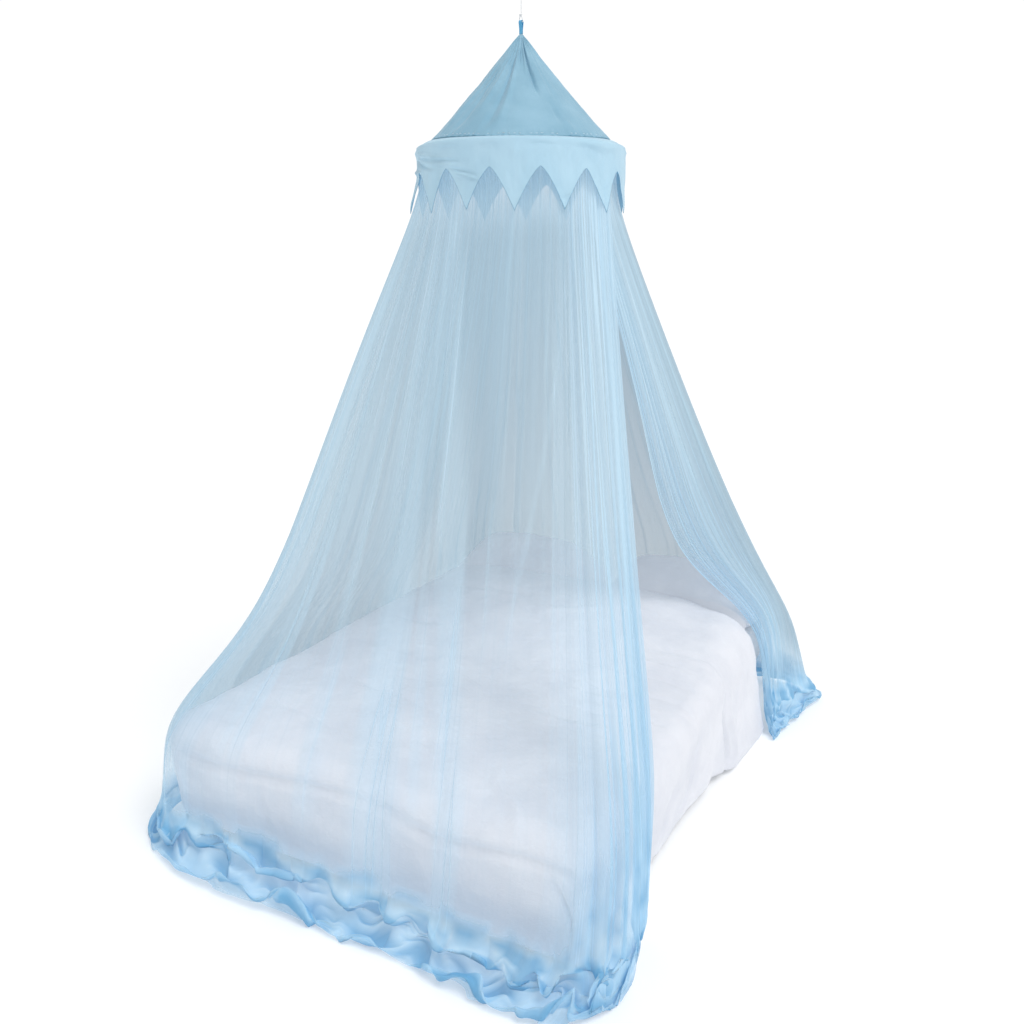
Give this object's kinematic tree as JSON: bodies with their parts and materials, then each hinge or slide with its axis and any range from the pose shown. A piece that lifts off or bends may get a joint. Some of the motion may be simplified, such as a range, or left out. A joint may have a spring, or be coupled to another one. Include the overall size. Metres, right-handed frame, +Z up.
{
  "type": "mosquito net canopy over a bed",
  "caption": "Sheer blue mosquito net hung from the ceiling: cone roof over a hoop, toothed band and one pleated net sheet, open at the side, falling over a white double bed to the floor.",
  "frame": {"origin": "on the floor under the middle of the bed, on the underside of the bed base", "axes": "+Z up towards the ceiling fitting, +Y towards the head of the bed, +X towards the net's open side"},
  "size_m": [1.8449, 2.3004, 2.6],
  "materials": {
    "fitting_plastic": "smooth white moulded plastic",
    "white_cord": "twisted white cord",
    "blue_tape": "woven blue tape",
    "roof_fabric": "plain light blue woven fabric, matt",
    "hoop_plastic": "plain pale plastic",
    "band_fabric": "plain light blue woven fabric, matt",
    "netting": "sheer fine blue net, soft sheen on its pleats",
    "base_cloth": "pale grey woven cover",
    "mattress_cloth": "off-white woven cover",
    "duvet_cotton": "white cotton, softly creased",
    "pillow_cotton": "white cotton, softly creased"
  },
  "bodies": {
    "root": {"ceiling_fitting": "fitting_plastic", "hang_cord": "white_cord", "cord_knot": "white_cord", "tape_loop": "blue_tape", "cone_roof": "roof_fabric", "hoop": "hoop_plastic", "valance": "band_fabric", "net": "netting", "bed_base": "base_cloth", "mattress": "mattress_cloth", "duvet": "duvet_cotton", "pillow_left": "pillow_cotton", "pillow_right": "pillow_cotton"}
  },
  "joints": []
}
